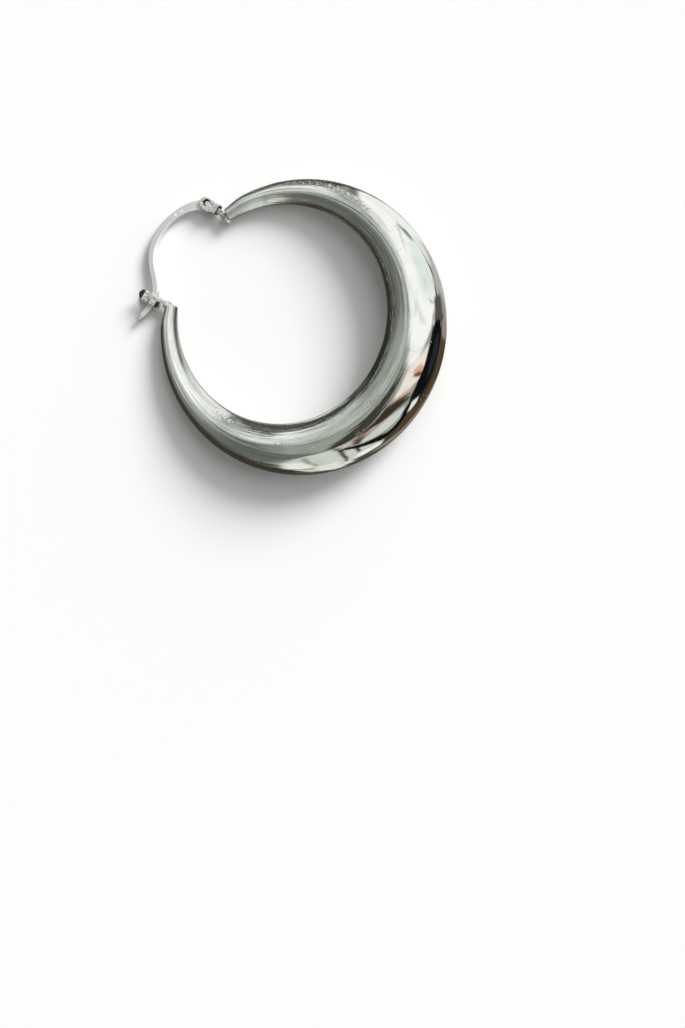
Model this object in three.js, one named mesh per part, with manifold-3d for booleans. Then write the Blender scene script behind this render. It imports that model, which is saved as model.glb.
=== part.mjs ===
// Hoop earring: a hollow tapered crescent hoop that closes with a hinged saddle ear wire and a snap catch.
// Millimetres, +Z up. The earring lies on its side as it would by itself: +Y points from the thick bottom of
// the hoop to the ear wire, which is up when the earring is worn, and the hinge is on the +X side.
import * as THREE from "three";
import { mergeVertices } from "three/addons/utils/BufferGeometryUtils.js";
import Module from "manifold-3d";

// ---- driving dimensions -------------------------------------------------------------------------------
// The hoop is drawn in its own plane, with the origin at the centre of its outer circle.
const OUTER_RADIUS = 20; // outer outline of the crescent
const INNER_RADIUS = 14.87; // inner outline of the crescent
const INNER_SHIFT = 3.38; // the inner circle's centre lies this far towards the ear wire
const HEIGHT_SHARE = 0.95; // height of the oval section at the thick bottom, as a share of its width
const TIP_HINGE = 24; // degrees from +Y to the end of the tube at the hinge
const TIP_CATCH = 22.4; // degrees from +Y to the end of the tube at the catch
const TIP_PINCH = 0.3; // the outer outline draws in this much over the last degrees of each tip
const TIP_PINCH_SPAN = 9;
const CAP_DOME = 0.22; // how far the soldered end caps bulge
const TUBE_STEPS = 72;
const TUBE_SIDES = 24;

const PIVOT_X = 7.39; // the hinge axis, across the hoop's plane
const PIVOT_Y = 20.42;
const LUG_RIGHT = 8.16; // the hinge lug's two long sides and its square end towards the hoop
const LUG_LEFT = 6.42;
const LUG_BACK = 18.72;
const LUG_HEIGHT = 1.62; // over both cheeks
const SLOT_HEIGHT = 0.9; // between the cheeks
const SLOT_DEPTH_Y = 19.52; // the slot's floor
const RIVET_RADIUS = 0.34;
const RIVET_HEAD_RADIUS = 0.5;
const RIVET_HEAD_HEIGHT = 0.17;
const RIVET_GAP = 0.06; // running clearance round the rivet
const EYE_RADIUS = 0.74; // round end of the ear wire
const EYE_THICKNESS = 0.7;
const WIRE_THICKNESS = 0.76; // across the hoop's plane

const CATCH_X = -7.72; // middle of the catch strip
const CATCH_WIDTH = 1.42;
const CATCH_STRIP = 0.34; // thickness of the strip that is folded into the catch

const REST_TILT_X = -4.66; // degrees: the thick bottom lifts the hoop's plane by this much
const REST_TILT_Y = 0;

const SILVER = { color: 0xd9dcd8, roughness: 0.12, metalness: 1 };
const SILVER_WIRE = { color: 0xd3d8d2, roughness: 0.2, metalness: 1 };

// Middle line of the ear wire in the hoop's plane, from the hinge eye to the free tail, with its width there.
const WIRE = [
  { x: 7.39, y: 20.42, width: 1.46 },
  { x: 6.64, y: 21.42, width: 1.4 },
  { x: 5.7, y: 22.42, width: 1.22 },
  { x: 4.42, y: 23.3, width: 1.06 },
  { x: 2.66, y: 24.04, width: 0.98 },
  { x: 0.78, y: 24.36, width: 0.94 },
  { x: -1.2, y: 24.24, width: 0.92 },
  { x: -2.8, y: 23.64, width: 0.9 },
  { x: -4.14, y: 22.62, width: 0.9 },
  { x: -5.22, y: 21.54, width: 0.92 },
  { x: -6.22, y: 20.72, width: 0.94 },
  { x: -7.3, y: 20.2, width: 0.9 },
  { x: -8.3, y: 20.04, width: 0.84 },
  { x: -9.3, y: 20.16, width: 0.8 },
  { x: -10.2, y: 20.34, width: 0.76 },
  { x: -10.9, y: 20.5, width: 0.7 },
];

// Middle line of the catch strip across the hoop's plane, from the lip of the lower arm round the closed
// bend to the lip of the upper arm. The pinch at y 21 holds the ear wire in the seat behind it.
const CATCH = [
  { y: 22.26, z: -0.78 },
  { y: 21.86, z: -0.74 },
  { y: 21.42, z: -0.66 },
  { y: 21.0, z: -0.62 },
  { y: 20.55, z: -0.68 },
  { y: 20.1, z: -0.72 },
  { y: 19.7, z: -0.69 },
  { y: 19.36, z: -0.52 },
  { y: 19.16, z: -0.26 },
  { y: 19.1, z: 0 },
  { y: 19.16, z: 0.26 },
  { y: 19.36, z: 0.52 },
  { y: 19.7, z: 0.69 },
  { y: 20.1, z: 0.72 },
  { y: 20.55, z: 0.68 },
  { y: 21.0, z: 0.62 },
  { y: 21.3, z: 0.68 },
  { y: 21.56, z: 0.86 },
  { y: 21.8, z: 1.08 },
  { y: 22.0, z: 1.28 },
];

// ---- helpers ------------------------------------------------------------------------------------------
const wasm = await Module();
wasm.setup();
const DEG = Math.PI / 180;

// A closed three.js geometry as a manifold-3d solid.
function solidOf(geometry) {
  const g = geometry.clone();
  g.deleteAttribute("normal");
  g.deleteAttribute("uv");
  const merged = mergeVertices(g, 1e-5);
  const index = merged.index.array;
  const triVerts = [];
  for (let i = 0; i < index.length; i += 3) {
    const [a, b, c] = [index[i], index[i + 1], index[i + 2]];
    if (a !== b && b !== c && c !== a) triVerts.push(a, b, c);
  }
  return new wasm.Manifold(
    new wasm.Mesh({
      numProp: 3,
      vertProperties: new Float32Array(merged.attributes.position.array),
      triVerts: new Uint32Array(triVerts),
    }),
  );
}

// A manifold-3d solid as a three.js geometry.
function geometryOf(solid) {
  const m = solid.getMesh();
  const position = new Float32Array(m.numVert * 3);
  for (let i = 0; i < m.numVert; i++)
    position.set(m.vertProperties.subarray(i * m.numProp, i * m.numProp + 3), i * 3);
  const g = new THREE.BufferGeometry();
  g.setAttribute("position", new THREE.BufferAttribute(position, 3));
  g.setIndex(new THREE.BufferAttribute(new Uint32Array(m.triVerts), 1));
  g.computeVertexNormals();
  return g;
}

const smooth = (t) => {
  const s = Math.min(1, Math.max(0, t));
  return s * s * (3 - 2 * s);
};

// A closed skin over a row of rings with the same number of points, each ring running counter-clockwise seen
// from the end of the row, with a fan over each end.
function loft(rings) {
  const n = rings[0].length;
  const points = rings.flat();
  const middle = (ring) =>
    ring.reduce((s, p) => s.add(p), new THREE.Vector3()).divideScalar(n);
  const first = points.push(middle(rings[0])) - 1;
  const last = points.push(middle(rings[rings.length - 1])) - 1;
  const index = [];
  for (let i = 0; i + 1 < rings.length; i++)
    for (let j = 0; j < n; j++) {
      const a = i * n + j;
      const b = i * n + ((j + 1) % n);
      index.push(a, b, b + n, a, b + n, a + n);
    }
  for (let j = 0; j < n; j++) {
    const k = (j + 1) % n;
    index.push(first, k, j);
    index.push(last, (rings.length - 1) * n + j, (rings.length - 1) * n + k);
  }
  const g = new THREE.BufferGeometry().setFromPoints(points);
  g.setIndex(index);
  return g;
}

// ---- the tube of the hoop -----------------------------------------------------------------------------
// Section of the crescent at an angle from +Y: the middle radius, half the width and half the height.
function hoopSection(degrees) {
  const angle = degrees * DEG;
  const tip = degrees > 0 ? TIP_HINGE : TIP_CATCH;
  const pinch = TIP_PINCH * smooth((tip + TIP_PINCH_SPAN - Math.abs(degrees)) / TIP_PINCH_SPAN);
  const outer = OUTER_RADIUS - pinch;
  const inner =
    INNER_SHIFT * Math.cos(angle) +
    Math.sqrt(INNER_RADIUS ** 2 - (INNER_SHIFT * Math.sin(angle)) ** 2);
  const a = (outer - inner) / 2;
  const b = a * (1 - (1 - HEIGHT_SHARE) * smooth((a - 1) / 3));
  return { middle: (outer + inner) / 2, a, b };
}

// One ring of the tube: the section at an angle, shrunk by a factor and moved along the tube for the caps.
function hoopRing(degrees, shrink = 1, along = 0) {
  const { middle, a, b } = hoopSection(degrees);
  const angle = degrees * DEG;
  const out = new THREE.Vector3(Math.sin(angle), Math.cos(angle), 0);
  const forward = new THREE.Vector3(Math.cos(angle), -Math.sin(angle), 0);
  return Array.from({ length: TUBE_SIDES }, (_, j) => {
    const t = (j / TUBE_SIDES) * 2 * Math.PI;
    return out
      .clone()
      .multiplyScalar(middle + a * shrink * Math.cos(t))
      .addScaledVector(forward, along)
      .add(new THREE.Vector3(0, 0, b * shrink * Math.sin(t)));
  });
}

function tube() {
  const start = TIP_HINGE;
  const end = 360 - TIP_CATCH;
  const turn = (k) => start + ((end - start) * k) / TUBE_STEPS;
  const cap = [
    { shrink: 0.55, along: 1 },
    { shrink: 0.88, along: 0.7 },
  ];
  return loft([
    ...cap.map((c) => hoopRing(start, c.shrink, -CAP_DOME * c.along)),
    ...Array.from({ length: TUBE_STEPS + 1 }, (_, k) =>
      hoopRing(turn(k) > 180 ? turn(k) - 360 : turn(k)),
    ),
    ...cap.map((c) => hoopRing(end - 360, c.shrink, CAP_DOME * c.along)).reverse(),
  ]);
}

// ---- the soldered fittings ----------------------------------------------------------------------------
// A straight bar between two points of the hoop's plane, wide in the plane and high across it.
function bar(x0, y0, x1, y1, width, height) {
  const g = new THREE.BoxGeometry(width, Math.hypot(x1 - x0, y1 - y0), height, 1, 1, 1);
  g.rotateZ(Math.atan2(y1 - y0, x1 - x0) - Math.PI / 2);
  g.translate((x0 + x1) / 2, (y0 + y1) / 2, 0);
  return solidOf(g);
}

function ball(x, y, z, radius, squash = 1) {
  const g = new THREE.SphereGeometry(radius, 16, 10);
  g.scale(1, 1, squash);
  g.translate(x, y, z);
  return solidOf(g);
}

function upright(x, y, radius, height, sides = 24) {
  const g = new THREE.CylinderGeometry(radius, radius, height, sides);
  g.rotateX(Math.PI / 2);
  g.translate(x, y, 0);
  return solidOf(g);
}

// The hinge lug: two cheeks with a round end about the pivot, joined by a solid back.
function hingeLug() {
  const outline = new THREE.Shape();
  outline.moveTo(LUG_LEFT + 0.34, LUG_BACK);
  outline.lineTo(LUG_RIGHT - 0.2, LUG_BACK);
  outline.lineTo(LUG_RIGHT, LUG_BACK + 0.2);
  outline.lineTo(LUG_RIGHT, 20.72);
  outline.quadraticCurveTo(LUG_RIGHT - 0.06, 21.3, 7.5, 21.46);
  outline.quadraticCurveTo(LUG_LEFT + 0.1, 21.5, LUG_LEFT, 20.5);
  outline.lineTo(LUG_LEFT, 19.95);
  outline.closePath();
  const edge = 0.07;
  const g = new THREE.ExtrudeGeometry(outline, {
    depth: LUG_HEIGHT - 2 * edge,
    bevelEnabled: true,
    bevelThickness: edge,
    bevelSize: edge,
    bevelOffset: -edge,
    bevelSegments: 1,
    curveSegments: 14,
  });
  g.translate(0, 0, -LUG_HEIGHT / 2 + edge);
  const slot = new THREE.BoxGeometry(4, 4, SLOT_HEIGHT);
  slot.translate(PIVOT_X, SLOT_DEPTH_Y + 2, 0);
  return solidOf(g)
    .subtract(solidOf(slot))
    .subtract(upright(PIVOT_X, PIVOT_Y, RIVET_RADIUS + RIVET_GAP, 3));
}

// The catch: one strip folded into a long U, lying across the hoop's plane.
function catchStrip() {
  const line = CATCH.map((p) => new THREE.Vector2(p.y, p.z));
  const side = (sign) =>
    line.map((p, i) => {
      const before = line[Math.max(0, i - 1)];
      const after = line[Math.min(line.length - 1, i + 1)];
      const along = after.clone().sub(before).normalize();
      return new THREE.Vector2(
        p.x - (sign * along.y * CATCH_STRIP) / 2,
        p.y + (sign * along.x * CATCH_STRIP) / 2,
      );
    });
  const profile = new THREE.Shape([...side(1), ...side(-1).reverse()]);
  const g = new THREE.ExtrudeGeometry(profile, { depth: CATCH_WIDTH, bevelEnabled: false });
  // profile x is the part's y, profile y is its z, and the extrusion runs along x
  g.applyMatrix4(
    new THREE.Matrix4().makeBasis(
      new THREE.Vector3(0, 1, 0),
      new THREE.Vector3(0, 0, 1),
      new THREE.Vector3(1, 0, 0),
    ),
  );
  g.translate(CATCH_X - CATCH_WIDTH / 2, 0, 0);
  return solidOf(g);
}

function hoopSolid() {
  return [
    hingeLug(),
    bar(7.34, 18.8, 6.78, 16.95, 0.62, 1.0), // neck, soldered along the end of the tube
    ball(7.24, 17.35, 0, 0.52, 1.0), // solder between the neck and the tube
    ball(6.74, 16.66, 0, 0.34, 1.3), // bead of solder at the foot of the neck
    catchStrip(),
    bar(-7.5, 19.06, -7.12, 17.6, 0.9, 1.0), // block between the tube and the catch
    ball(-7.3, 18.1, 0, 0.6, 0.9),
  ].reduce((whole, piece) => whole.add(piece), solidOf(tube()));
}

// ---- the rivet ----------------------------------------------------------------------------------------
function rivetGeometry() {
  const face = LUG_HEIGHT / 2 + 0.02;
  const half = [
    new THREE.Vector2(RIVET_RADIUS, 0),
    new THREE.Vector2(RIVET_RADIUS, face),
    new THREE.Vector2(RIVET_HEAD_RADIUS, face),
    new THREE.Vector2(RIVET_HEAD_RADIUS * 0.93, face + RIVET_HEAD_HEIGHT * 0.45),
    new THREE.Vector2(RIVET_HEAD_RADIUS * 0.66, face + RIVET_HEAD_HEIGHT * 0.84),
    new THREE.Vector2(0, face + RIVET_HEAD_HEIGHT),
  ];
  const lower = half
    .slice(1)
    .map((p) => new THREE.Vector2(p.x, -p.y))
    .reverse();
  const g = new THREE.LatheGeometry([...lower, ...half.slice(1)], 24);
  g.rotateX(Math.PI / 2);
  g.translate(PIVOT_X, PIVOT_Y, 0);
  return geometryOf(solidOf(g));
}

// ---- the ear wire -------------------------------------------------------------------------------------
// A flat wire with rounded corners along the table's middle line, with a drilled round eye at the hinge.
function earWireGeometry() {
  const curve = new THREE.CatmullRomCurve3(
    WIRE.map((p) => new THREE.Vector3(p.x, p.y, 0)),
    false,
    "centripetal",
  );
  const steps = 45;
  const corner = 0.16;
  const rings = [];
  for (let k = 0; k <= steps; k++) {
    const t = k / steps;
    const at = curve.getPoint(t);
    const along = curve.getTangent(t);
    const out = new THREE.Vector3(-along.y, along.x, 0);
    const f = t * (WIRE.length - 1);
    const i = Math.min(WIRE.length - 2, Math.floor(f));
    const width = THREE.MathUtils.lerp(WIRE[i].width, WIRE[i + 1].width, f - i);
    const end = smooth((1 - t) / 0.03) * 0.35 + 0.65; // rounded tail
    const thick = THREE.MathUtils.lerp(EYE_THICKNESS, WIRE_THICKNESS, smooth((t - 0.06) / 0.08));
    const w = (width / 2) * end;
    const h = (thick / 2) * end;
    const c = corner * end;
    rings.push(
      [
        [w, -h + c],
        [w, h - c],
        [w - 0.3 * c, h - 0.3 * c],
        [w - c, h],
        [-w + c, h],
        [-w + 0.3 * c, h - 0.3 * c],
        [-w, h - c],
        [-w, -h + c],
        [-w + 0.3 * c, -h + 0.3 * c],
        [-w + c, -h],
        [w - c, -h],
        [w - 0.3 * c, -h + 0.3 * c],
      ].map(([u, v]) =>
        at.clone().addScaledVector(out, u).add(new THREE.Vector3(0, 0, v)),
      ),
    );
  }
  return geometryOf(
    solidOf(loft(rings))
      .add(upright(PIVOT_X, PIVOT_Y, EYE_RADIUS, EYE_THICKNESS, 32))
      .subtract(upright(PIVOT_X, PIVOT_Y, RIVET_RADIUS + RIVET_GAP, 3)),
  );
}

// ---- the assembly -------------------------------------------------------------------------------------
function part(name, geometry, finish) {
  const mesh = new THREE.Mesh(geometry, new THREE.MeshStandardMaterial(finish));
  mesh.name = name;
  return mesh;
}

const earring = new THREE.Group();
earring.add(
  part("hoop", geometryOf(hoopSolid()), SILVER),
  part("hinge_rivet", rivetGeometry(), SILVER),
  part("ear_wire", earWireGeometry(), SILVER_WIRE),
);
earring.rotation.set(REST_TILT_X * DEG, REST_TILT_Y * DEG, 0);

// The origin is the middle of the footprint, on the surface that the earring lies on.
const group = new THREE.Group();
group.add(earring);
group.updateMatrixWorld(true);
const box = new THREE.Box3().setFromObject(group, true);
earring.position.set(-(box.min.x + box.max.x) / 2, -(box.min.y + box.max.y) / 2, -box.min.z);

export default group;
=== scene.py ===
# Hoop earring in polished silver, lying on its side on a pale surface, under soft broad light.
# Metres, in the CAD frame; the small metal parts are worked out in millimetres in the hoop's own plane.
import math
import bpy
import numpy as np
from mathutils import Matrix, Vector


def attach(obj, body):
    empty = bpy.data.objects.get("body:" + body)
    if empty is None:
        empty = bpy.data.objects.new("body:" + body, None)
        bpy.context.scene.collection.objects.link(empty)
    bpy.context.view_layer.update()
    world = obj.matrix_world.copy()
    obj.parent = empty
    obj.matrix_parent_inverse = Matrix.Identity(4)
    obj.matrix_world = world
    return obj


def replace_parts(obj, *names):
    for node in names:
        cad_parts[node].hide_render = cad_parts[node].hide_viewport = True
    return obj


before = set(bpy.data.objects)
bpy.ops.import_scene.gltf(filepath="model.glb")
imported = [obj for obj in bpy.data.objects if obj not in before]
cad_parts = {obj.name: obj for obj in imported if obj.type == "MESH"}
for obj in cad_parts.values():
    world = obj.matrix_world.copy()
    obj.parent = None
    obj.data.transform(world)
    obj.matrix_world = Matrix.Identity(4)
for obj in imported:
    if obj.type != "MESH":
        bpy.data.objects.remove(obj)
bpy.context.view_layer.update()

# ---- camera -------------------------------------------------------------------------------------------
camera_data = bpy.data.cameras.new("camera")
camera = bpy.data.objects.new("camera", camera_data)
bpy.context.collection.objects.link(camera)
camera.matrix_world = Matrix((
    (0.519314, 0.846648, 0.116189, 0.0161252),
    (-0.832373, 0.531916, -0.155631, -0.0668133),
    (-0.193568, -0.015891, 0.980958, 0.2942875),
    (0.0, 0.0, 0.0, 1.0),
))
camera_data.sensor_width = 36.0
camera_data.lens = 77.36
camera_data.clip_start = 0.005
camera_data.clip_end = 20.0
camera_data.dof.use_dof = False
scene = bpy.context.scene
scene.camera = camera
scene.view_settings.view_transform = "Standard"
scene.view_settings.look = "None"

# ---- driving dimensions, as in the CAD, in millimetres --------------------------------------------------
OUTER_RADIUS, INNER_RADIUS, INNER_SHIFT, HEIGHT_SHARE = 20.0, 14.87, 3.38, 0.95
TIP_HINGE, TIP_CATCH, TIP_PINCH, TIP_PINCH_SPAN, CAP_DOME = 24.0, 22.4, 0.3, 9.0, 0.22
PIVOT_X, PIVOT_Y = 7.39, 20.42
REST_TILT = math.radians(-4.66)
REST_MOVE = np.array((-0.00596823, -2.42202525, 2.75310704))
MM = 0.001


def to_part(points):
    """Points of the hoop's plane frame, in millimetres, to the CAD frame in metres."""
    c, s = math.cos(REST_TILT), math.sin(REST_TILT)
    p = np.asarray(points, float)
    turned = np.stack((p[:, 0], c * p[:, 1] - s * p[:, 2], s * p[:, 1] + c * p[:, 2]), -1)
    return (turned + REST_MOVE) * MM


def ease(t):
    t = np.clip(t, 0.0, 1.0)
    return t * t * (3 - 2 * t)


def linear(colour):
    c = np.asarray(colour, float) / 255
    return np.where(c <= 0.04045, c / 12.92, ((c + 0.055) / 1.055) ** 2.4)


# ---- meshes -------------------------------------------------------------------------------------------
def mesh_object(name, points, faces, collection=None):
    mesh = bpy.data.meshes.new(name)
    mesh.from_pydata(np.asarray(points, float).tolist(), [], [tuple(f) for f in faces])
    mesh.polygons.foreach_set("use_smooth", np.ones(len(mesh.polygons), bool))
    mesh.update()
    obj = bpy.data.objects.new(name, mesh)
    bpy.context.collection.objects.link(obj)
    return obj


def hoop_section(degrees):
    """Middle radius, half width and half height of the crescent at an angle from +Y."""
    d = (np.asarray(degrees, float) + 180) % 360 - 180
    tip = np.where(d > 0, TIP_HINGE, TIP_CATCH)
    pinch = TIP_PINCH * ease((tip + TIP_PINCH_SPAN - np.abs(d)) / TIP_PINCH_SPAN)
    a = np.radians(d)
    outer = OUTER_RADIUS - pinch
    inner = INNER_SHIFT * np.cos(a) + np.sqrt(INNER_RADIUS**2 - (INNER_SHIFT * np.sin(a)) ** 2)
    half = (outer - inner) / 2
    return (outer + inner) / 2, half, half * (1 - (1 - HEIGHT_SHARE) * ease((half - 1) / 3))


def hoop_tube():
    """The tapered oval tube with its domed end caps, with u along it and v round it, both in millimetres."""
    steps, sides, cap = 420, 100, 9
    rows = []
    for k in range(cap, 0, -1):
        t = math.pi / 2 * k / (cap + 0.35)
        rows.append((TIP_HINGE, math.cos(t), -CAP_DOME * math.sin(t)))
    for k in range(steps + 1):
        rows.append((TIP_HINGE + (360 - TIP_CATCH - TIP_HINGE) * k / steps, 1.0, 0.0))
    for k in range(1, cap + 1):
        t = math.pi / 2 * k / (cap + 0.35)
        rows.append((360 - TIP_CATCH, math.cos(t), CAP_DOME * math.sin(t)))
    # the seam of the unwrapping is underneath, where the hoop lies on the surface
    th = np.radians(-90 + 360 * np.arange(sides) / sides)
    points, uv_row = [], []
    for degrees, shrink, along in rows:
        middle, a, b = hoop_section(degrees)
        angle = math.radians(degrees)
        out = np.array((math.sin(angle), math.cos(angle), 0))
        forward = np.array((math.cos(angle), -math.sin(angle), 0))
        ring = out * (middle + a * shrink * np.cos(th))[:, None] + forward * along
        ring[:, 2] += b * shrink * np.sin(th)
        points.append(ring)
        uv_row.append((math.radians(degrees) * 18.0 + along, float(a)))
    points = np.concatenate(points)
    n = sides
    faces, uvs = [], []
    for i in range(len(rows) - 1):
        for j in range(n):
            k = (j + 1) % n
            faces.append((i * n + j, i * n + k, (i + 1) * n + k, (i + 1) * n + j))
            v0, v1 = 2 * math.pi * j / n, 2 * math.pi * (j + 1) / n
            (u0, a0), (u1, a1) = uv_row[i], uv_row[i + 1]
            uvs += [(u0, v0 * 3.2), (u0, v1 * 3.2), (u1, v1 * 3.2), (u1, v0 * 3.2)]
    for row, order in ((0, 1), (len(rows) - 1, -1)):
        centre = len(points)
        points = np.vstack((points, points[row * n:(row + 1) * n].mean(0)))
        for j in range(n):
            k = (j + 1) % n
            a, b = row * n + j, row * n + k
            faces.append((centre, b, a) if order == 1 else (centre, a, b))
            uvs += [(uv_row[row][0], 0.0)] * 3
    obj = mesh_object("hoop_tube", to_part(points), faces)
    layer = obj.data.uv_layers.new(name="along")
    layer.data.foreach_set("uv", np.array(uvs, np.float32).ravel())
    # where the polish is worn: marks at places round the hoop (angle along, angle round, spans, strength)
    ring_deg = np.array([r[0] for r in rows])
    psi = np.repeat(ring_deg, n)
    theta = np.tile(np.degrees(th), len(rows))
    wear = np.zeros(len(psi))
    for p0, t0, dp, dt, strength in WEAR:
        dtheta = (theta - t0 + 180) % 360 - 180
        wear = np.maximum(wear, strength * np.exp(-(((psi - p0) / dp) ** 2) - (dtheta / dt) ** 2))
    # the inner side and the thin ends still show the polishing lines, the outer side is buffed to a mirror
    inner = ease((theta - 74) / 22) * ease((215 - theta) / 20)
    thin = np.maximum(ease((82 - psi) / 34), ease((psi - 226) / 30))
    lined = np.maximum(inner, 0.85 * thin)
    # the thin arm towards the catch has a hazier polish along its crest
    arm = ease((psi - 262) / 30) * ease((theta - 58) / 18) * ease((122 - theta) / 16)
    arm = np.maximum(arm, 0.8 * ease((48 - psi) / 10) * ease((theta - 62) / 12) * ease((98 - theta) / 10))
    arm = np.maximum(arm, 1.3 * ease((psi - 62) / 18) * ease((126 - psi) / 18) * ease((theta - 148) / 10) * ease((200 - theta) / 12))
    # painted dark reflection: a dark line along the inner side, down from the catch, painted into the colour where the
    # shaded floor would be mirrored
    painted_dark_reflection = 0.85 * ease((psi - 303) / 12) * np.exp(-(((theta - 145 - 0.55 * (psi - 315)) / 11) ** 2))
    for layer_name, values in (("wear", wear), ("lined", lined), ("haze", arm), ("painted_dark_reflection", painted_dark_reflection)):
        attribute = obj.data.attributes.new(layer_name, "FLOAT", "POINT")
        attribute.data.foreach_set("value", np.append(values, (0.0, 0.0)).astype(np.float32))
    return obj


# centre along, centre round (90 is the crest, 180 the inner side), spans, strength
WEAR = (
    (64, 48, 14, 14, 0.9),
    (78, 62, 8, 9, 1.0),
    (179, 77.5, 12, 4, 0.42),
    (86, 70, 8, 11, 0.9),
    (188, 74, 10, 5, 0.4),
    (160, 160, 8, 10, 1.0),
    (277, 128, 12, 9, 0.7),
    (244, 98, 7, 8, 0.6),
    (254, 134, 10, 10, 0.45),
    (192, 98, 10, 8, 0.5),
    (238, 150, 20, 16, 0.42),
    (222, 138, 14, 12, 0.38),
    (140, 172, 12, 10, 0.9),
    (205, 70, 8, 12, 0.4),
    (36, 168, 8, 30, 0.5),
    (320, 100, 10, 40, 0.4),
    (178, 20, 8, 8, 0.38),
    (300, 178, 14, 16, 0.5),
)


# A skin round the places where a distance function is below 0: one point per grid cell that the skin
# crosses, moved onto the skin, and one quad per crossed grid edge.
def skin(distance, low, high, step):
    low, high = np.asarray(low, float), np.asarray(high, float)
    size = np.ceil((high - low) / step).astype(int) + 1
    axes = [low[i] + step * np.arange(size[i]) for i in range(3)]
    x, y, z = np.meshgrid(*axes, indexing="ij")
    value = distance(x, y, z)
    solid = value < 0
    corners = [(i, j, k) for i in (0, 1) for j in (0, 1) for k in (0, 1)]

    def corner(array, c):
        return array[c[0]:size[0] - 1 + c[0], c[1]:size[1] - 1 + c[1], c[2]:size[2] - 1 + c[2]]

    count = sum(corner(solid, c).astype(int) for c in corners)
    active = (count > 0) & (count < 8)
    number = np.full(active.shape, -1)
    number[active] = np.arange(active.sum())
    cell = np.argwhere(active)
    total = np.zeros((len(cell), 3))
    hits = np.zeros(len(cell))
    for a in corners:
        for axis in range(3):
            if a[axis]:
                continue
            b = tuple(1 if i == axis else a[i] for i in range(3))
            va, vb = corner(value, a)[active], corner(value, b)[active]
            cross = (va < 0) != (vb < 0)
            t = np.where(cross, va / np.where(cross, va - vb, 1), 0)
            point = np.tile(np.array(a, float), (len(cell), 1))
            point[:, axis] += t
            total += point * cross[:, None]
            hits += cross
    points = low + (cell + total / hits[:, None]) * step
    faces = []
    for axis in range(3):
        b, c = (axis + 1) % 3, (axis + 2) % 3
        first = np.take(solid, np.arange(size[axis] - 1), axis=axis)
        second = np.take(solid, np.arange(1, size[axis]), axis=axis)
        edge = np.argwhere(first != second)
        edge = edge[(edge[:, b] > 0) & (edge[:, c] > 0) & (edge[:, b] < size[b] - 1) & (edge[:, c] < size[c] - 1)]
        inside_first = first[tuple(edge.T)]
        quad = []
        for sb, sc in ((-1, -1), (0, -1), (0, 0), (-1, 0)):
            cells = edge.copy()
            cells[:, b] += sb
            cells[:, c] += sc
            quad.append(number[tuple(cells.T)])
        quad = np.stack(quad, -1)
        quad[~inside_first] = quad[~inside_first][:, ::-1]
        faces.append(quad)
    faces = np.concatenate(faces)
    h = step * 0.1
    for _ in range(4):
        x, y, z = points.T
        d = distance(x, y, z)
        slope = np.stack((
            distance(x + h, y, z) - distance(x - h, y, z),
            distance(x, y + h, z) - distance(x, y - h, z),
            distance(x, y, z + h) - distance(x, y, z - h),
        ), -1) / (2 * h)
        move = -d[:, None] * slope / np.maximum((slope**2).sum(-1, keepdims=True), 0.25)
        length = np.linalg.norm(move, axis=-1, keepdims=True)
        points = points + move * np.minimum(1, 0.4 * step / np.maximum(length, 1e-9))
    return points, faces


def join(a, b, k):
    """The two together, with a fillet of about k."""
    h = np.maximum(k - np.abs(a - b), 0) / k
    return np.minimum(a, b) - h * h * k / 4


def cut(a, b, k):
    """a without b, with a rounded edge of about k."""
    return -join(-a, b, k)


def prism(flat, z, half, edge):
    """A flat outline's distance drawn out to a height of twice half, with rounded edges."""
    w, h = flat + edge, np.abs(z) - half + edge
    return np.minimum(np.maximum(w, h), 0) + np.hypot(np.maximum(w, 0), np.maximum(h, 0)) - edge


def box2(x, y, half_x, half_y, edge):
    qx, qy = np.abs(x) - half_x + edge, np.abs(y) - half_y + edge
    return np.minimum(np.maximum(qx, qy), 0) + np.hypot(np.maximum(qx, 0), np.maximum(qy, 0)) - edge


def ball(x, y, z, cx, cy, cz, radius, squash=1.0):
    return np.sqrt((x - cx) ** 2 + (y - cy) ** 2 + ((z - cz) / squash) ** 2) - radius


def bar(x, y, z, x0, y0, x1, y1, width, height, edge=0.12):
    length = math.hypot(x1 - x0, y1 - y0)
    ux, uy = (x1 - x0) / length, (y1 - y0) / length
    dx, dy = x - (x0 + x1) / 2, y - (y0 + y1) / 2
    return prism(box2(dx * uy - dy * ux, dx * ux + dy * uy, width / 2, length / 2, edge), z, height / 2, edge)


def tube_distance(x, y, z):
    """About how far a point is from the tube near its tips."""
    degrees = np.degrees(np.arctan2(x, y))
    middle, a, b = hoop_section(degrees)
    r = np.hypot(x, y)
    d = (np.hypot((r - middle) / a, z / b) - 1) * np.minimum(a, b)
    beyond = np.where(degrees > 0, TIP_HINGE - degrees, degrees + TIP_CATCH)
    return -join(-d, -(np.radians(beyond) * r - 0.1), 0.3)


def lumps(x, y, z, size):
    """Gentle unevenness of hand-laid solder, about -1 to 1."""
    return (np.sin(x / size * 1.7 + 1.3 * np.sin(y / size * 1.1)) * np.cos(y / size * 1.3 + 0.7)
            + 0.6 * np.sin(z / size * 1.9 + 2.1 * np.cos(x / size * 0.9))) / 1.6


def solder(fitting, x, y, z, k):
    """The fitting with a solder fillet that runs out over the tube and ends under its skin."""
    blend = join(fitting, tube_distance(x, y, z) + 0.014, k)
    return -join(-blend, -(fitting - 0.8 * k), 0.05)


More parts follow.
